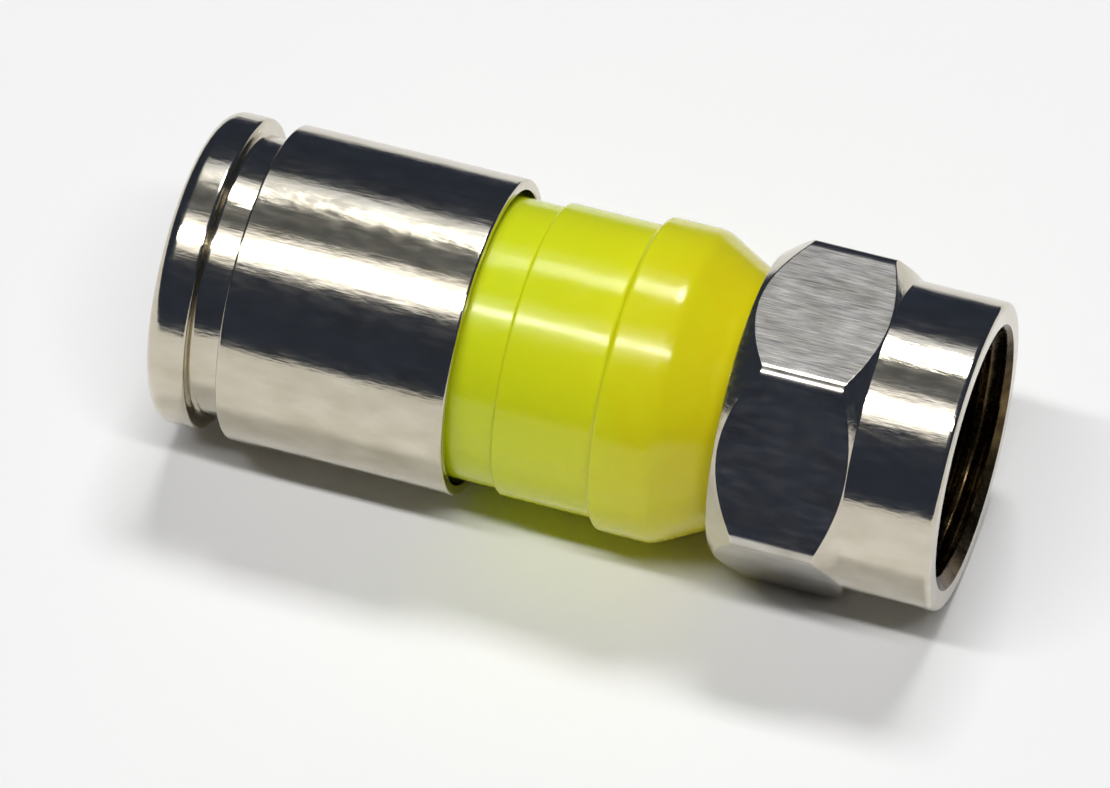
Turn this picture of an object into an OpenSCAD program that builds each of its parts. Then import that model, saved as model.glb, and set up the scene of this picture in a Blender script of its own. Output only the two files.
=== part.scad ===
// F connector of the compression kind, for 75 ohm coaxial cable.
// It lies on its side, with a flat of the nut's hexagon downwards.
// Every piece is turned about one axis. A station is a distance along that axis,
// counted from the nut's mating face back towards the cable, so stations grow
// along -X. A profile is a list of [radius, station] corners, carried round the axis.

/* [Coupling nut] */
// Wall of the skirt over the thread's roots: 0.765 gives a hexagon for a 7/16 inch spanner
skirt_wall = 0.765; // [0.6:0.005:1.6]
// Length of the nut, from its mating face to its back face
nut_len = 8.1; // [7:0.1:12]
// Length of the round skirt ahead of the hexagon
skirt_len = 3.3; // [1:0.1:4]
// How far the skirt lies below the hexagon's flats
skirt_drop = 0.03; // [0.01:0.01:0.2]
// Length of the turned cone between the skirt and the hexagon's corners
front_cone_len = 0.75; // [0.4:0.05:1.2]
// Length of the turned cone between the hexagon's corners and the back face
back_cone_len = 1.3; // [0.6:0.05:1.8]
// Width that the back cone takes off the hexagon's corners
back_cone_cut = 1; // [0.5:0.05:1.1]
// Bevel round the outside of the mating face
rim_bevel = 0.22; // [0.1:0.01:0.4]
// Crest diameter of the internal 3/8-32 thread, which is the bore's wall
thread_crest_d = 8.74; // [8.6:0.01:9]
// Height of the thread, from crest to root
thread_height = 0.39; // [0.2:0.01:0.42]
// Width of the relief groove between the thread and the post's flange
relief_len = 0.35; // [0.2:0.05:0.8]
// Thickness of the inward lip that the post's flange holds
lip_len = 0.55; // [0.4:0.05:1]

/* [Inner post] */
// Bore that takes the cable's dielectric core
core_bore_d = 4.9; // [4.6:0.05:5.4]
// Wall of the tube that slides under the cable's braid
tube_wall = 0.4; // [0.25:0.05:0.6]
// Diameter of the shank that carries the nut and the body
shank_d = 6.8; // [6.6:0.05:7.2]
// Thickness of the flange that holds the nut on
flange_len = 0.8; // [0.5:0.05:1.2]
// How far the flange's edge lies inside the thread crests
flange_inset = 0.22; // [0.1:0.01:0.4]
// Length of the barb at the tube's end
barb_len = 1.6; // [0.8:0.1:2.4]
// Height of the barb over the tube
barb_rise = 0.35; // [0.15:0.05:0.45]
// Depth of the tube's end inside the sleeve once the sleeve is pushed home
tube_recess = 0.7; // [0.2:0.1:2]

/* [Body] */
// Diameter of the barrel that the sleeve slides over
barrel_d = 10.54; // [10.2:0.02:11.4]
// Length of the barrel, from the collar to the neck
barrel_len = 3.6; // [2:0.1:4.2]
// Height of the collar over the barrel
collar_rise = 0.37; // [0.2:0.01:0.8]
// Length of the collar
collar_len = 2; // [1:0.1:3]
// Diameter of the nose at the nut's back face
nose_d = 9; // [8.8:0.05:9.3]
// Length of the cone from the collar down to the nose
nose_cone_len = 2.25; // [1.5:0.05:3.5]
// How far the neck lies below the barrel
neck_drop = 0.195; // [0.05:0.005:0.3]
// Length of the neck that shows ahead of the sleeve
neck_len = 1.65; // [0.8:0.05:2.2]
// Bore that takes the cable's jacket
jacket_bore_d = 8.2; // [7.6:0.05:8.4]
// Thickness of the web behind the collar, at the jacket bore's end
web_len = 0.65; // [0.5:0.05:1.2]
// Thickness of the ledge that the shank's shoulder comes up against
ledge_len = 0.4; // [0.2:0.05:0.45]
// Length of the guide land that keeps the sleeve straight
land_len = 1; // [0.5:0.05:1.2]
// Wall left at the thin end of the tail
tail_tip = 0.3; // [0.2:0.02:0.5]

/* [Compression sleeve] */
// Length of the sleeve
sleeve_len = 11; // [10.5:0.1:16]
// Wall of the sleeve round the barrel
sleeve_wall = 0.39; // [0.3:0.01:0.8]
// Length of the flange behind the groove
heel_len = 1.5; // [0.9:0.05:1.8]
// How far the flange lies below the rest of the sleeve
heel_drop = 0.07; // [0:0.01:0.2]
// Radius of the flange's rounded back edge
heel_round = 0.55; // [0.2:0.05:0.6]
// Width of the groove's floor
groove_len = 1.15; // [0.4:0.05:1.6]
// Depth of the groove at the front of its floor
groove_depth = 0.72; // [0.2:0.01:0.8]
// How much the groove's floor rises towards the flange
groove_rise = 0.08; // [0:0.01:0.15]
// Length of the slope at the groove's front side
groove_slope = 0.05; // [0.05:0.05:0.8]
// Length of the ramp that squeezes the body's tail
ramp_len = 1.8; // [1.4:0.05:2.2]
// How far the ramp starts ahead of the groove
ramp_lead = 1.1; // [0.8:0.05:1.6]
// Opening that the cable goes in by
entry_d = 8.3; // [7.8:0.05:8.6]

/* [Seal ring] */
// Thickness of the rubber ring between the nut's lip and the body's nose
ring_wire = 0.7; // [0.5:0.02:0.9]

/* [Fits] */
// Radial gap between the nut's lip and the shank, where the nut spins
spin_gap = 0.05; // [0.02:0.01:0.09]
// Radial gap between the sleeve and the barrel, where the sleeve slides
slide_gap = 0.05; // [0.02:0.01:0.09]
// Gap along the axis between the nut's lip and the flange
end_play = 0.05; // [0.02:0.01:0.15]
// Gap between faces that are pressed together
seat_gap = 0.01; // [0.005:0.005:0.02]
// Gap on each side of the seal ring
ring_gap = 0.03; // [0.02:0.01:0.1]
// Radial gap between the body's nose and the nut
nose_gap = 0.15; // [0.1:0.01:0.2]
// Gap left in front of the sleeve, and over the tail, when it is pushed home
home_gap = 0.12; // [0.08:0.01:0.25]
// Small bevel on an edge
edge = 0.12; // [0.05:0.01:0.15]

/* [Hidden] */
$fn = 128;

// How far a cutting shape runs past the face that it cuts
overrun = 1;

// Coupling nut
crest_r = thread_crest_d / 2;
root_r = crest_r + thread_height;
skirt_r = root_r + skirt_wall;
hex_flats = 2 * (skirt_r + skirt_drop);
hex_corner_r = hex_flats / sqrt(3);
back_face_r = hex_corner_r - back_cone_cut;
cone_extra = 0.5;
nose_reach = 0.04;
pocket_len = ring_wire + 2 * ring_gap + nose_reach;
lip_back = nut_len - pocket_len;
lip_front = lip_back - lip_len;
lip_r = shank_d / 2 + spin_gap;
pocket_r = nose_d / 2 + nose_gap;

// Inner post
shank_r = shank_d / 2;
core_r = core_bore_d / 2;
tube_r = core_r + tube_wall;
barb_r = tube_r + barb_rise;
flange_r = crest_r - flange_inset;
flange_back = lip_front - end_play;
port_seat = flange_back - flange_len;
relief_front = port_seat - relief_len;

// Body
barrel_r = barrel_d / 2;
collar_r = barrel_r + collar_rise;
neck_r = barrel_r - neck_drop;
nose_r = nose_d / 2;
jacket_r = jacket_bore_d / 2;
nose_front = nut_len - nose_reach;
collar_front = nut_len + nose_cone_len;
collar_back = collar_front + collar_len;
barrel_back = collar_back + barrel_len;
web_back = collar_back + web_len;
shoulder_at = web_back - ledge_len;

// Compression sleeve
sleeve_front = barrel_back + neck_len;
sleeve_back = sleeve_front + sleeve_len;
bore_r = barrel_r + slide_gap;
sleeve_r = bore_r + sleeve_wall;
heel_r = sleeve_r - heel_drop;
groove_r = sleeve_r - groove_depth;
entry_r = entry_d / 2;
groove_back = sleeve_back - heel_len;
groove_front = groove_back - groove_len;
slope_front = groove_front - groove_slope;
ramp_front = slope_front - ramp_lead;
ramp_back = ramp_front + ramp_len;
heel_steps = 6;

// The sleeve's travel, and the tail that meets its ramp at the end of it
travel = sleeve_front - collar_back - home_gap;
land_back = ramp_front - travel - home_gap;
land_front = land_back - land_len;
ramp_rate = (bore_r - entry_r) / ramp_len;
tip_r = jacket_r + tail_tip;
tail_back = land_back + (barrel_r - tip_r) / ramp_rate;
tube_back = sleeve_back - travel - tube_recess;
barb_front = tube_back - barb_len;

// Seal ring
ring_r = shank_r + seat_gap + ring_wire / 2;
ring_at = lip_back + ring_gap + ring_wire / 2;

axis_h = max(sleeve_r, collar_r, hex_flats / 2);

// Puts a shape drawn along stations on the connector's axis, nut to +X
module on_axis() {
    translate([sleeve_back / 2, 0, axis_h]) rotate([0, -90, 0]) children();
}

// A solid turned from its profile
module turned(profile) {
    rotate_extrude() polygon(profile);
}

// Corners of a quarter round, from straight out (angle 0) to straight back (angle 90)
function quarter(r, at, radius, steps) =
    [for (i = [0:steps]) [r + radius * cos(90 * i / steps), at + radius * sin(90 * i / steps)]];

// Bar of hexagonal section turned down to a skirt, with both ends of the hexagon coned off
module nut_outside() {
    front_rate = (hex_corner_r - skirt_r) / front_cone_len;
    back_rate = (hex_corner_r - back_face_r) / back_cone_len;
    top_r = hex_corner_r + cone_extra;
    intersection() {
        translate([0, 0, -overrun]) rotate(30) cylinder(r = hex_corner_r, h = nut_len + 2 * overrun, $fn = 6);
        turned([
            [0, 0],
            [skirt_r - rim_bevel, 0],
            [skirt_r, rim_bevel],
            [skirt_r, skirt_len],
            [top_r, skirt_len + (top_r - skirt_r) / front_rate],
            [top_r, nut_len - (top_r - back_face_r) / back_rate],
            [back_face_r, nut_len],
            [0, nut_len]
        ]);
    }
}

// Hexagonal nut: threaded socket in front, flange room, lip, and the seal ring's pocket
module coupling_nut() {
    color([0.71, 0.69, 0.66])
    on_axis() difference() {
        nut_outside();
        turned([
            [0, -overrun],
            [root_r, -overrun],
            [root_r, 0],
            [crest_r, thread_height],
            [crest_r, relief_front],
            [root_r, relief_front + thread_height / 2],
            [root_r, lip_front],
            [lip_r, lip_front],
            [lip_r, lip_back],
            [pocket_r, lip_back],
            [pocket_r, nut_len + overrun],
            [0, nut_len + overrun]
        ]);
    }
}

// Flanged tube: the port's face meets the flange, the braid slides over the barb
module inner_post() {
    color([0.74, 0.70, 0.62])
    on_axis() turned([
        [core_r + edge, port_seat],
        [flange_r - edge, port_seat],
        [flange_r, port_seat + edge],
        [flange_r, flange_back],
        [shank_r, flange_back],
        [shank_r, shoulder_at - seat_gap],
        [tube_r, shoulder_at - seat_gap],
        [tube_r, barb_front],
        [barb_r, barb_front],
        [barb_r, barb_front + edge],
        [tube_r - edge, tube_back],
        [core_r + edge, tube_back],
        [core_r, tube_back - edge],
        [core_r, port_seat + edge]
    ]);
}

// Moulded body: nose cone, collar, barrel and neck outside; jacket bore and tail behind
module connector_body() {
    shank_bore_r = shank_r + seat_gap;
    tube_bore_r = tube_r + seat_gap;
    color([0.83, 0.85, 0.10])
    on_axis() turned([
        [shank_bore_r, nose_front],
        [nose_r, nose_front],
        [nose_r, nut_len + edge],
        [collar_r, collar_front],
        [collar_r, collar_back - edge],
        [collar_r - edge, collar_back],
        [barrel_r, collar_back],
        [barrel_r, barrel_back - edge],
        [neck_r, barrel_back],
        [neck_r, land_front - neck_drop],
        [barrel_r, land_front],
        [barrel_r, land_back],
        [tip_r, tail_back],
        [jacket_r + edge, tail_back],
        [jacket_r, tail_back - edge],
        [jacket_r, web_back],
        [tube_bore_r, web_back],
        [tube_bore_r, shoulder_at],
        [shank_bore_r, shoulder_at]
    ]);
}

// Thin sleeve with a grooved heel; its ramp squeezes the tail on to the cable's jacket
module compression_sleeve() {
    color([0.73, 0.72, 0.70])
    on_axis() turned(concat(
        [
            [bore_r + edge, sleeve_front],
            [sleeve_r - edge / 2, sleeve_front],
            [sleeve_r, sleeve_front + edge / 2],
            [sleeve_r, slope_front],
            [groove_r, groove_front],
            [groove_r + groove_rise, groove_back]
        ],
        [[heel_r - edge / 2, groove_back], [heel_r, groove_back + edge / 2]],
        quarter(heel_r - heel_round, sleeve_back - heel_round, heel_round, heel_steps),
        [
            [entry_r + 2 * edge, sleeve_back],
            [entry_r, sleeve_back - 2 * edge],
            [entry_r, ramp_back],
            [bore_r, ramp_front],
            [bore_r, sleeve_front + edge]
        ]
    ));
}

// Rubber ring on the shank that keeps water out of the nut
module nut_seal_ring() {
    color([0.10, 0.10, 0.11])
    on_axis() rotate_extrude() translate([ring_r, ring_at]) circle(d = ring_wire);
}

coupling_nut();
inner_post();
connector_body();
compression_sleeve();
nut_seal_ring();
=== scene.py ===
import math

import bmesh
import bpy
import numpy as np
from mathutils import Matrix, Vector


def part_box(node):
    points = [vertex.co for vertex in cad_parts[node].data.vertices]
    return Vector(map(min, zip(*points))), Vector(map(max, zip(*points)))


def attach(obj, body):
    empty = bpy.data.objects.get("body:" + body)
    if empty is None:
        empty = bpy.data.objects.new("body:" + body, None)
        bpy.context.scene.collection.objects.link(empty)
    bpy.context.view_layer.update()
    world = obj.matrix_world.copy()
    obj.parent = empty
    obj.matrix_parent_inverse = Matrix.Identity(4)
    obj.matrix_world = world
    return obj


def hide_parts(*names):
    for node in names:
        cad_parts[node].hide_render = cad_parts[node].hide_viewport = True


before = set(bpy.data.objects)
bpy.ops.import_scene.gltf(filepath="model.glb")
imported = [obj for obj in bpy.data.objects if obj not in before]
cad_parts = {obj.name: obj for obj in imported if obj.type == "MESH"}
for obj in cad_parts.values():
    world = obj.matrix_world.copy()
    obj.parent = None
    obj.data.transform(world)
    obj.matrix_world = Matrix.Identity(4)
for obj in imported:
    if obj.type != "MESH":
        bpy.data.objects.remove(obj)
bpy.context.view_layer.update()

# ---- the frame: lengths here are in mm, and MM turns them into the row's metres ----
MM = 0.001
nut_low, nut_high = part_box("coupling_nut")
sleeve_low, sleeve_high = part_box("compression_sleeve")
FRONT = nut_high.x / MM                        # x of the nut's mating face
AXIS = (nut_low.z + nut_high.z) / 2 / MM       # height of the turning axis
SLEEVE_R = (sleeve_high.y - sleeve_low.y) / 2 / MM
FLAT_R = (nut_high.z - nut_low.z) / 2 / MM     # half the distance across the nut's flats
CORNER_R = FLAT_R / math.cos(math.radians(30))
PITCH = 25.4 / 32                              # 3/8-32 thread
ARC_POINTS, LONG_ARC_POINTS = 5, 12            # points along a rounded corner
LONG_ARC = 0.2                                 # fillets over this take the more points


def ends(node):
    """Stations of a node's front and back ends: distances behind the nut's mating face."""
    low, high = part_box(node)
    return FRONT - high.x / MM, FRONT - low.x / MM


# ---- helpers ----
def rgb(code):
    """A six-digit sRGB colour as linear RGBA."""
    parts = [int(code[i:i + 2], 16) / 255 for i in (0, 2, 4)]
    return (*[c / 12.92 if c <= 0.04045 else ((c + 0.055) / 1.055) ** 2.4 for c in parts], 1.0)


def add(tree, kind, inputs=None, **settings):
    """Adds one node, sets its settings, then fills its inputs from values or from other nodes' outputs."""
    made = tree.nodes.new(kind)
    for key, value in settings.items():
        setattr(made, key, value)
    for key, value in (inputs or {}).items():
        if isinstance(value, bpy.types.NodeSocket):
            tree.links.new(value, made.inputs[key])
        else:
            made.inputs[key].default_value = value
    return made


def material(name):
    """An empty node material and its tree."""
    made = bpy.data.materials.new(name)
    made.use_nodes = True
    made.node_tree.nodes.clear()
    return made, made.node_tree


def in_mm(tree, stretch=(1, 1, 1)):
    """Object coordinates in mm, measured from the turning axis, squeezed by stretch."""
    where = add(tree, "ShaderNodeTexCoord").outputs["Object"]
    scale = tuple(k / MM for k in stretch)
    return add(tree, "ShaderNodeMapping", {"Vector": where, "Scale": scale,
                                           "Location": (0, 0, -AXIS * stretch[2])}).outputs[0]


def noise(tree, per_mm, stretch=(1, 1, 1), detail=2.0, rough=0.5):
    """Noise whose grains are 1 / per_mm across, longer where stretch is below 1."""
    return add(tree, "ShaderNodeTexNoise", {"Vector": in_mm(tree, stretch), "Scale": per_mm, "Detail": detail,
                                            "Roughness": rough}).outputs[0]


def mapped(tree, value, low, high, to_low, to_high):
    """value taken from low..high to to_low..to_high, and held there."""
    return add(tree, "ShaderNodeMapRange", {"Value": value, "From Min": low, "From Max": high,
                                            "To Min": to_low, "To Max": to_high}).outputs[0]


def math_node(tree, operation, first, second=0.0):
    """One sum on two values."""
    return add(tree, "ShaderNodeMath", {0: first, 1: second}, operation=operation).outputs[0]


def mixed(tree, share, first, second):
    """Two colours mixed by share."""
    made = add(tree, "ShaderNodeMix", {"Factor": share, "A": first, "B": second}, data_type="RGBA")
    return made.outputs["Result"]


def ramp(tree, value, stops):
    """A colour ramp through (position, colour) stops."""
    made = add(tree, "ShaderNodeValToRGB", {"Fac": value})
    for i, (place, colour) in enumerate(stops):
        stop = made.color_ramp.elements[i] if i < 2 else made.color_ramp.elements.new(place)
        stop.position, stop.color = place, colour
    return made.outputs[0]


def surface(tree, **inputs):
    """A Principled surface to the output. Spaces in socket names are written as underscores."""
    names = {key.replace("_", " "): value for key, value in inputs.items()}
    shader = add(tree, "ShaderNodeBsdfPrincipled", names)
    add(tree, "ShaderNodeOutputMaterial", {"Surface": shader.outputs[0]})


def rounded(stations, radii, fillets, closed=True):
    """Rounds the corners of outlines. Each row of stations and radii is one outline. A corner with fillet f
    becomes an arc of radius f that touches both its sides, with one point more a little way along each
    side, so that the flats beside the arc shade flat."""
    p = np.stack([np.atleast_2d(stations), np.atleast_2d(radii)], -1).astype(float)
    to_last, to_next = np.roll(p, 1, 1) - p, np.roll(p, -1, 1) - p
    len_last, len_next = np.linalg.norm(to_last, axis=-1), np.linalg.norm(to_next, axis=-1)
    to_last, to_next = to_last / len_last[..., None], to_next / len_next[..., None]
    spread = np.arccos(np.clip((to_last * to_next).sum(-1), -1, 1))
    out = []
    for k, fillet in enumerate(fillets):
        if fillet == 0 or (not closed and k in (0, len(fillets) - 1)):
            out.append(p[:, k:k + 1])
            continue
        half = np.tan(spread[:, k] / 2)
        reach = np.minimum(fillet / half, 0.45 * np.minimum(len_last[:, k], len_next[:, k]))
        middle = to_last[:, k] + to_next[:, k]
        middle /= np.linalg.norm(middle, axis=-1)[:, None]
        centre = p[:, k] + middle * (reach / np.cos(spread[:, k] / 2))[:, None]
        start, end = p[:, k] + to_last[:, k] * reach[:, None], p[:, k] + to_next[:, k] * reach[:, None]
        turn = math.pi - spread[:, k]
        u = np.linspace(0, 1, LONG_ARC_POINTS if fillet > LONG_ARC else ARC_POINTS)[None, :, None]
        w = turn[:, None, None]
        arc = centre[:, None] + (np.sin((1 - u) * w) * (start - centre)[:, None]
                                 + np.sin(u * w) * (end - centre)[:, None]) / np.sin(w)
        past = np.minimum(0.03, 0.05 * np.minimum(len_last[:, k], len_next[:, k]))[:, None]
        out += [(start + to_last[:, k] * past)[:, None], arc, (end + to_next[:, k] * past)[:, None]]
    both = np.concatenate(out, 1)
    return both[..., 0], both[..., 1]


def skin(name, stations, radii, turns, stands_for, body, finishes, finish_of=None):
    """Makes one closed piece from a grid. Row i is the section at angle turns[i]; its points are stations
    behind the mating face and radii from the axis: x = FRONT - station, y = radius cos(turn), z = AXIS +
    radius sin(turn). The sections close on themselves, and the last one meets the first."""
    count, points = stations.shape
    turn = turns[:, None]
    xyz = np.stack([FRONT - stations, radii * np.cos(turn), AXIS + radii * np.sin(turn)], -1) * MM
    i, j = np.meshgrid(np.arange(count - 1), np.arange(points), indexing="ij")
    after = (j + 1) % points
    quads = np.stack([i * points + j, i * points + after, (i + 1) * points + after, (i + 1) * points + j], -1)
    mesh = bpy.data.meshes.new(name)
    mesh.from_pydata(xyz.reshape(-1, 3).tolist(), [], quads.reshape(-1, 4).tolist())
    for finish in finishes:
        mesh.materials.append(finish)
    if finish_of is not None:
        mesh.polygons.foreach_set("material_index", np.broadcast_to(finish_of,
                                                                    i.shape).ravel().astype(np.int32))
    work = bmesh.new()
    work.from_mesh(mesh)
    bmesh.ops.remove_doubles(work, verts=work.verts, dist=2e-7)
    bmesh.ops.recalc_face_normals(work, faces=work.faces)
    work.to_mesh(mesh)
    work.free()
    mesh.polygons.foreach_set("use_smooth", np.ones(len(mesh.polygons), bool))
    mesh.set_sharp_from_angle(angle=math.radians(38))
    piece = bpy.data.objects.new(name, mesh)
    bpy.context.scene.collection.objects.link(piece)
    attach(piece, body)
    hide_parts(stands_for)
    return piece


def turned(name, corners, stands_for, body, finish, around=192):
    """A turned piece: the outline through corners (station, radius, fillet) goes once round the axis."""
    s, r, fillets = np.array(corners).T
    s, r = rounded(s, r, fillets)
    turns = np.linspace(0, 2 * math.pi, around + 1)
    s, r = np.repeat(s, around + 1, 0), np.repeat(r, around + 1, 0)
    return skin(name, s, r, turns, stands_for, body, [finish])


# ---- finishes ----
def plated(name, light, dark, wave, gloss, streak=0.0):
    """Bright nickel over turned brass. wave is the depth of the ripples in the plating in mm, which make
    the edges of the lamps' reflections ragged; streak is the depth of the fine marks along the axis."""
    made, tree = material(name)
    ripple = noise(tree, 2.4, (0.45, 1, 1), 2.0, 0.5)
    marks = noise(tree, 9.0, (0.10, 1, 1), 3.0, 0.6)
    tint = mixed(tree, mapped(tree, noise(tree, 1.1, (0.6, 1, 1), 4.0), 0.35, 0.7, 0, 1), light, dark)
    worn = mapped(tree, noise(tree, 4.0, (0.3, 1, 1), 3.0), 0.3, 0.75, gloss[0], gloss[1])
    waves = add(tree, "ShaderNodeBump", {"Height": ripple, "Strength": 1.0, "Distance": wave * MM}).outputs[0]
    both = add(tree, "ShaderNodeBump", {"Height": marks, "Strength": 1.0, "Distance": streak * MM,
                                        "Normal": waves}).outputs[0]
    surface(tree, Base_Color=tint, Metallic=1.0, Roughness=worn, Normal=both)
    return made


# Bright nickel on the crimp sleeve: mirrors the lamps as bands along the axis, with ragged edges.
sleeve_nickel = plated("bright nickel plate", rgb("D0C9B8"), rgb("C0B8A4"), 0.008, (0.10, 0.18), 0.003)
# Bright nickel on the turned parts of the nut: a little cleaner than the sleeve.
nut_nickel = plated("bright nickel plate on a turned nut", rgb("D2CBBC"), rgb("C4BCAA"), 0.007, (0.09,
                                                                                                 0.17), 0.003)
# Drawn hexagon bar under thin plate: long dull streaks along the axis, so a lamp spreads over the whole flat.
bar_nickel = plated("nickel plate on drawn hexagon bar", rgb("C6C2BA"), rgb("ACA79C"), 0.0005, (0.16, 0.24),
                    0.0026)
# Thin nickel in the cut thread, where the brass shows through as a golden tint. Both its colours are also
# darkened towards black as painted shade, standing in for the shade inside the bore.
thread_brass_and_painted_shade = plated("thin nickel in a cut brass thread", rgb("6B5A3C"), rgb("2E2417"), 0.004, (0.20, 0.34))
# Plated post inside the nut: darker and duller, because it is only lightly plated.
post_nickel = plated("thin nickel plate on the post", rgb("C9BFA9"), rgb("A89C84"), 0.006, (0.16, 0.26))


SLEEVE_FRONT, SLEEVE_BACK = ends("compression_sleeve")
WARM_FROM = 9.0                                # station where the yellow is warmest


def acetal():
    """Moulded yellow acetal: light sinks in a little. It is greener at the sleeve and warmer at the nut, a
    painted shift that stands in for light through the plastic and for shade and reflection from the metal.
    """
    made, tree = material("yellow acetal")
    along = add(tree, "ShaderNodeSeparateXYZ", {"Vector": in_mm(tree)}).outputs["X"]
    cloud = noise(tree, 0.9, (1, 1, 1), 3.0)
    # painted light: the tint drifts from greener at the sleeve to warmer at the nut for shade and reflection
    # from the metal; the cloud adds random tone
    end = mapped(tree, along, FRONT - SLEEVE_FRONT, FRONT - WARM_FROM, 0, 1)
    painted_shade_and_cloud = math_node(tree, "ADD", end, mapped(tree, cloud, 0.3, 0.7, -0.08, 0.08))
    tint = ramp(tree, painted_shade_and_cloud, [(0.0, rgb("D3E01C")), (1.0, rgb("DDD214")), (0.55, rgb("DCE01A"))])
    grain = noise(tree, 3.2, (0.7, 1, 1), 3.0)
    dent = add(tree, "ShaderNodeBump", {"Height": grain, "Strength": 1.0, "Distance": 0.003 * MM}).outputs[0]
    gloss = mapped(tree, noise(tree, 2.0, (0.6, 1, 1), 3.0), 0.3, 0.7, 0.12, 0.22)
    surface(tree, Base_Color=tint, Roughness=gloss, Normal=dent, Specular_IOR_Level=0.42,
            Subsurface_Weight=0.15,
            Subsurface_Radius=(0.9, 0.8, 0.15), Subsurface_Scale=0.6 * MM)
    return made


def rubber():
    """Black nitrile rubber: nearly no light back, with a faint bloom."""
    made, tree = material("black nitrile rubber")
    bloom = noise(tree, 3.0, (1, 1, 1), 3.0)
    surface(tree, Base_Color=mixed(tree, bloom, rgb("1A1A1B"), rgb("262627")),
            Roughness=mapped(tree, bloom, 0.3, 0.7, 0.45, 0.6))
    return made


# ---- the coupling nut ----
SKIRT_R, SKIRT_END, CONE_END = FLAT_R - 0.03, 3.3, 4.05
BACK_CONE, NUT_END, BACK_R = 6.8, 8.1, CORNER_R - 1.0
CREST_R, ROOT_R, RELIEF, RELIEF_END = 4.37, 4.76, 5.745, 6.75
LIP_R, LIP_END, POCKET_R = 3.45, 7.3, 4.65
CORNER_ROUND = 0.60                            # wear on the bar's corners


def hexagon(turns, corner):
    """Radius of a hexagon with rounded corners at angle turn; its flats face up and down. On a flat it is
    the apothem over the cosine of the angle from the flat's middle; at a corner it is a circle that touches
    both flats."""
    from_flat = np.abs(turns % (math.pi / 3) - math.pi / 6)
    from_corner = math.pi / 6 - from_flat
    hub = (FLAT_R - corner) / math.cos(math.pi / 6)
    flat = FLAT_R / np.cos(from_flat)
    reach = np.clip(corner ** 2 - (hub * np.sin(from_corner)) ** 2, 0, None)
    arc = hub * np.cos(from_corner) + np.sqrt(reach)
    touch = math.atan((FLAT_R - corner) * math.tan(math.pi / 6) / FLAT_R)
    return np.where(from_flat > touch, arc, flat)


def nut_turns(corner):
    """Angles round the nut: even along each flat, close together round each corner."""
    touch = math.atan((FLAT_R - corner) * math.tan(math.pi / 6) / FLAT_R)
    flat = np.linspace(-touch + 0.006, touch - 0.006, 19)
    arc = np.linspace(touch, math.pi / 3 - touch, 9)
    sector = np.concatenate([flat, arc]) + math.pi / 6
    return np.append(np.concatenate([sector + k * math.pi / 3 for k in range(6)]), sector[0] + 2 * math.pi)


def thread_radius(turns, stations):
    """Radius of the wall at a station and an angle: a 60 degree right-hand thread with a flat crest and
    root, cut back by the entry bevel in front and by the slope into the relief behind."""
    phase = (stations / PITCH + turns / (2 * math.pi)) % 1.0
    steps = [0.0, 0.12, 0.15, 0.40, 0.43, 0.57, 0.60, 0.85, 0.88, 1.0]
    depth = [0.0, 0.0, 0.02, 0.37, 0.39, 0.39, 0.37, 0.02, 0.0, 0.0]
    cut = CREST_R + np.interp(phase, steps, depth)
    bevel = ROOT_R - stations
    slope = ROOT_R - (RELIEF - stations) * 2
    return np.clip(np.maximum(cut, np.maximum(bevel, slope)), None, ROOT_R)


def coupling_nut():
    """The nut's section at each angle: out along the front face, back over the skirt, the front cone, the
    flat or corner and the back cone, in through the ring pocket, the lip and the relief, and forward down
    the thread."""
    turns = nut_turns(CORNER_ROUND)
    bar = hexagon(turns, CORNER_ROUND)
    full = np.ones_like(bar)
    rise = (bar - SKIRT_R) / (CORNER_R - SKIRT_R)
    fall = (CORNER_R - bar) / (CORNER_R - BACK_R)
    corners = [
        (0 * full, ROOT_R * full, 0), (0 * full, SKIRT_R * full, 0.20), (SKIRT_END * full, SKIRT_R * full,
                                                                         0.05),
        (SKIRT_END + (CONE_END - SKIRT_END) * rise, bar, 0.06),
        (BACK_CONE + (NUT_END - BACK_CONE) * fall, bar, 0.06), (NUT_END * full, BACK_R * full, 0.08),
        (NUT_END * full, POCKET_R * full, 0.06), (LIP_END * full, POCKET_R * full, 0.05),
        (LIP_END * full, LIP_R * full, 0.04), (RELIEF_END * full, LIP_R * full, 0.04),
        (RELIEF_END * full, ROOT_R * full, 0.05), (RELIEF * full, ROOT_R * full, 0),
    ]
    s = np.stack([c[0] for c in corners], 1)
    r = np.stack([c[1] for c in corners], 1)
    s, r = rounded(s, r, [c[2] for c in corners], closed=False)
    across = np.arange(0, RELIEF / PITCH + 1.001, 1 / 20)[::-1]
    coil = across[None, :] * PITCH - (turns[:, None] - turns[0]) / (2 * math.pi) * PITCH
    coil = np.clip(coil, 0, RELIEF)
    wall = thread_radius(turns[:, None], coil)
    finish = np.concatenate([np.zeros(s.shape[1] - 1), np.full(coil.shape[1] + 1, 2)])
    # the points before the flat: front face, rim, skirt end, cone end
    edge = 1 + 3 * (ARC_POINTS + 2)
    finish[edge - 2:edge] = 1
    s, r = np.concatenate([s, coil], 1), np.concatenate([r, wall], 1)
    # the thread's finish is darkened as painted shade for the inside of the bore
    return skin("hex_nut", s, r, turns, "coupling_nut", "nut",
                [nut_nickel, bar_nickel, thread_brass_and_painted_shade], finish[None, :])


coupling_nut()

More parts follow.
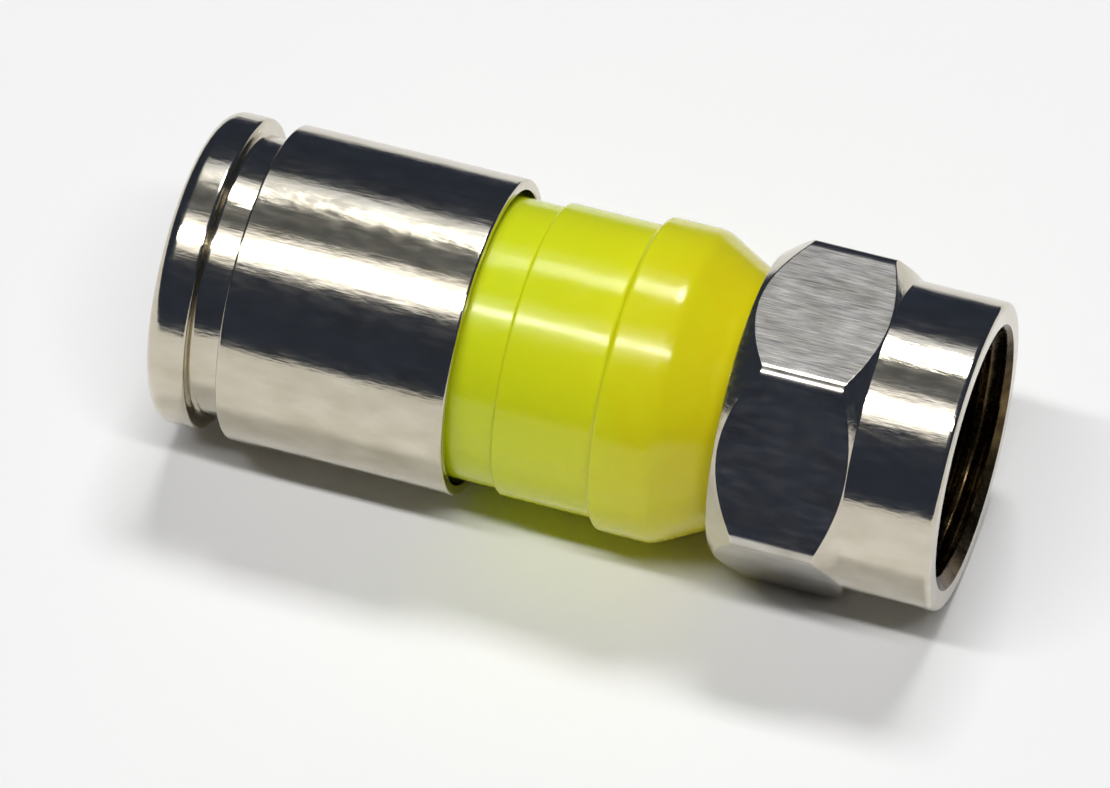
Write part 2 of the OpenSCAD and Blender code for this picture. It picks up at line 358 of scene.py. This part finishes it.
# ---- the turned pieces: corners are (station, radius, fillet) ----
GROOVE_FRONT, GROOVE_BACK, GROOVE_R, GROOVE_RISE = 25.9, 27.1, 4.99, 0.08
HEEL_R, ENTRY_R, ENTRY_BEVEL, BORE_R = SLEEVE_R - 0.07, 4.15, 0.24, 5.32
RAMP_FRONT, RAMP_BACK = 24.8, 26.6             # the sleeve's bore narrows between them
turned("crimp_sleeve", [
    (SLEEVE_FRONT, SLEEVE_R, 0.10), (GROOVE_FRONT, SLEEVE_R, 0.08), (GROOVE_FRONT + 0.05, GROOVE_R, 0.10),
    (GROOVE_BACK, GROOVE_R + GROOVE_RISE, 0.14), (GROOVE_BACK, HEEL_R, 0.14), (SLEEVE_BACK, HEEL_R, 0.55),
    (SLEEVE_BACK, ENTRY_R + ENTRY_BEVEL, 0.08), (SLEEVE_BACK - ENTRY_BEVEL, ENTRY_R, 0.10),
    (RAMP_BACK, ENTRY_R, 0.10), (RAMP_FRONT, BORE_R, 0.10), (SLEEVE_FRONT, BORE_R, 0.06),
], "compression_sleeve", "sleeve", sleeve_nickel)

NOSE_FRONT, TAIL_BACK = ends("connector_body")
NOSE_R, COLLAR_R, BARREL_R, NECK_R, TIP_R = 4.5, 5.64, 5.27, 5.075, 4.4
COLLAR_FRONT, COLLAR_BACK, BARREL_BACK = 10.35, 12.35, 15.95
LAND_FRONT, LAND_BACK = 18.55, 19.55           # the tail's ring that the sleeve runs on
JACKET_R, TUBE_SEAT_R, SHANK_SEAT_R = 4.1, 2.86, 3.41
SHOULDER, WEB_BACK = 12.6, 13.0
turned("yellow_body", [
    (NOSE_FRONT, NOSE_R, 0.06), (8.22, NOSE_R, 0.05), (COLLAR_FRONT, COLLAR_R, 1.2), (COLLAR_BACK, COLLAR_R,
                                                                                      0.17),
    (COLLAR_BACK, BARREL_R, 0.17), (BARREL_BACK, BARREL_R, 0.10), (BARREL_BACK, NECK_R, 0.10),
    (LAND_FRONT - (BARREL_R - NECK_R), NECK_R, 0.06), (LAND_FRONT, BARREL_R, 0.06), (LAND_BACK, BARREL_R,
                                                                                     0.06),
    (TAIL_BACK, TIP_R, 0.06), (TAIL_BACK, JACKET_R, 0.05), (WEB_BACK, JACKET_R, 0.06),
    (WEB_BACK, TUBE_SEAT_R, 0.05), (SHOULDER, TUBE_SEAT_R, 0.05), (SHOULDER, SHANK_SEAT_R, 0.05),
    (NOSE_FRONT, SHANK_SEAT_R, 0.05),
], "connector_body", "body", acetal())

POST_FRONT, POST_BACK = ends("inner_post")
FLANGE_R, FLANGE_BACK, SHANK_R, TUBE_R, CORE_R = 4.15, 6.7, 3.4, 2.85, 2.45
BARB_FRONT, BARB_R, POST_EDGE = 21.17, 3.2, 0.12
SHANK_END = SHOULDER - 0.01                    # the post seats in the body with 0.01 mm to spare
turned("plated_post", [
    (POST_FRONT, FLANGE_R, 0.10), (FLANGE_BACK, FLANGE_R, 0.08), (FLANGE_BACK, SHANK_R, 0.06),
    (SHANK_END, SHANK_R, 0.06), (SHANK_END, TUBE_R, 0.05), (BARB_FRONT, TUBE_R, 0.05), (BARB_FRONT, BARB_R,
                                                                                        0.05),
    (BARB_FRONT + POST_EDGE, BARB_R, 0.05), (POST_BACK, TUBE_R - POST_EDGE, 0.05), (POST_BACK, CORE_R, 0.05),
    (POST_FRONT, CORE_R, 0.12),
], "inner_post", "body", post_nickel)

# The seal ring: a circle of wire carried round the axis.
RING_AT, RING_R, WIRE_R, RING_SECTIONS = 7.68, 3.76, 0.35, 145
wire = np.linspace(0, 2 * math.pi, 24, endpoint=False)
skin("seal_ring", np.repeat(RING_AT + WIRE_R * np.cos(wire)[None], RING_SECTIONS, 0),
     np.repeat(RING_R + WIRE_R * np.sin(wire)[None], RING_SECTIONS, 0), np.linspace(0, 2 * math.pi,
                                                                                    RING_SECTIONS),
     "nut_seal_ring", "body", [rubber()])


# ---- the stage ----
def sheet(name, aside, near, far, finish):
    """A level sheet from -aside to aside across and from near to far, in metres."""
    mesh = bpy.data.meshes.new(name)
    mesh.from_pydata([(-aside, near, 0), (aside, near, 0), (aside, far, 0), (-aside, far, 0)], [], [(0, 1,
                                                                                                     2, 3)])
    mesh.materials.append(finish)
    made = bpy.data.objects.new(name, mesh)
    bpy.context.scene.collection.objects.link(made)


def paper():
    """White sweep paper: matt, with a faint cool tooth."""
    made, tree = material("white paper")
    tooth = noise(tree, 0.05, (1, 1, 1), 3.0)
    surface(tree, Base_Color=mixed(tree, tooth, (0.925, 0.930, 0.945, 1), (0.935, 0.938, 0.948, 1)),
            Roughness=0.9,
            Specular_IOR_Level=0.0)
    return made


# The paper ends a little way behind and before the connector, so the nickel shows the dark room past its
# edges.
FLOOR_ASIDE, FLOOR_NEAR, FLOOR_FAR = 0.60, -0.125, 0.042    # metres
sheet("floor", FLOOR_ASIDE, FLOOR_NEAR, FLOOR_FAR, paper())


ROOM = 4.0                                     # radius of the room, in metres
BRIGHTEST = 3.0                                # radiance that the room's colours are shares of


def room():
    """The dim room round the lamps. Its light depends on the angle above the front horizon, in the plane
    across the connector: dark walls, a pale halo round the front lamp, a grey ceiling and a softer strip
    behind."""
    made, tree = material("dim room")
    where = add(tree, "ShaderNodeSeparateXYZ", {"Vector": add(tree, "ShaderNodeTexCoord").outputs["Object"]})
    back = math_node(tree, "MULTIPLY", where.outputs["Y"], -1.0)
    angle = math_node(tree, "ARCTAN2", where.outputs["Z"], back)
    share = mapped(tree, angle, 0, math.pi, 0, 1)
    wall, halo, ceiling, strip = [(*c, 1) for c in (
        (0.032, 0.041, 0.066), (2.0, 2.0, 2.05), (0.115, 0.125, 0.135), (0.95, 1.0, 1.10))]
    stops = [(0, wall), (55, wall), (61, halo), (78, halo), (85, ceiling), (112, ceiling), (115, strip),
             (128, strip),
             (132, wall), (180, wall)]
    glow = ramp(tree, share, [(a / 180, tuple(v / BRIGHTEST for v in c[:3]) + (1,)) for a, c in stops])
    aside = math_node(tree, "ABSOLUTE", math_node(tree, "ADD", where.outputs["X"], ROOM * 0.166))
    inside = mapped(tree, aside, ROOM * 0.13, ROOM * 0.26, 1, 0)
    light = add(tree, "ShaderNodeEmission", {
        "Color": mixed(tree, inside, tuple(v / BRIGHTEST for v in wall[:3]) + (1,), glow),
        "Strength": BRIGHTEST})
    add(tree, "ShaderNodeOutputMaterial", {"Surface": light.outputs[0]})
    return made


def dome(radius):
    """A ball round the set, seen only in reflections."""
    work = bmesh.new()
    bmesh.ops.create_uvsphere(work, u_segments=96, v_segments=48, radius=radius)
    mesh = bpy.data.meshes.new("room")
    work.to_mesh(mesh)
    work.free()
    mesh.materials.append(room())
    made = bpy.data.objects.new("room", mesh)
    made.visible_camera = made.visible_diffuse = False
    bpy.context.scene.collection.objects.link(made)


dome(ROOM)


def lamp(name, toward, distance, size, radiance, colour):
    """A flat lamp in direction toward, facing the connector, long along x. Its power follows from its
    radiance."""
    data = bpy.data.lights.new(name, "AREA")
    data.shape, data.size, data.size_y = "RECTANGLE", size[0], size[1]
    data.energy, data.color = radiance * math.pi * size[0] * size[1], colour
    made = bpy.data.objects.new(name, data)
    away = Vector(toward).normalized()
    side = Vector((1, 0, 0)) - away * away.x
    side.normalize()
    made.matrix_world = Matrix((side, away.cross(side), away)).transposed().to_4x4()
    made.location = away * distance
    bpy.context.scene.collection.objects.link(made)


FRONT_LAMP = math.radians(69)                  # above the front horizon
lamp("front strip", (0, -math.cos(FRONT_LAMP), math.sin(FRONT_LAMP)), 2.0, (2.4, 0.12), 31.0, (1.0, 0.995,
                                                                                               0.985))
lamp("overhead", (0.0, 0.413, 0.911), 2.0, (0.76, 0.36), 22.0, (1.0, 0.995, 0.985))

world = bpy.data.worlds.new("studio")
bpy.context.scene.world = world
world.use_nodes = True
world.node_tree.nodes.clear()
# Pale to the camera and to mirrors; the lamps alone light the set.
path = add(world.node_tree, "ShaderNodeLightPath").outputs
seen = math_node(world.node_tree, "MAXIMUM", path["Is Camera Ray"], math_node(
    world.node_tree, "MAXIMUM", path["Is Glossy Ray"], path["Is Transmission Ray"]))
sky = add(world.node_tree, "ShaderNodeBackground", {"Color": (0.93, 0.935, 0.95, 1), "Strength": seen})
add(world.node_tree, "ShaderNodeOutputWorld", {"Surface": sky.outputs[0]})

# ---- the camera ----
AZIMUTH, ELEVATION, ROLL = math.radians(17.8), math.radians(48.5), math.radians(0.5)
# metres to the connector; focal length in parts of the frame's 1110
DISTANCE, FOCAL = 0.309, 8838
ASIDE, BELOW = 0.96 * MM, 1.18 * MM            # from the frame's middle to the connector's
away = Vector((math.sin(AZIMUTH) * math.cos(ELEVATION), -math.cos(AZIMUTH) * math.cos(ELEVATION),
               math.sin(ELEVATION)))
right = Vector((math.cos(AZIMUTH), math.sin(AZIMUTH), 0))
up = away.cross(right)
right, up = (right * math.cos(ROLL) + up * math.sin(ROLL), up * math.cos(ROLL) - right * math.sin(ROLL))
camera = bpy.data.objects.new("camera", bpy.data.cameras.new("camera"))
camera.data.sensor_width = 36
camera.data.lens = 36 * FOCAL / 1110
camera.data.clip_start, camera.data.clip_end = 0.01, 20
camera.matrix_world = Matrix((right, up, away)).transposed().to_4x4()
camera.location = Vector((0, 0, AXIS * MM)) + away * DISTANCE - right * ASIDE - up * BELOW
bpy.context.scene.collection.objects.link(camera)
bpy.context.scene.camera = camera

bpy.context.scene.view_settings.view_transform = "Standard"
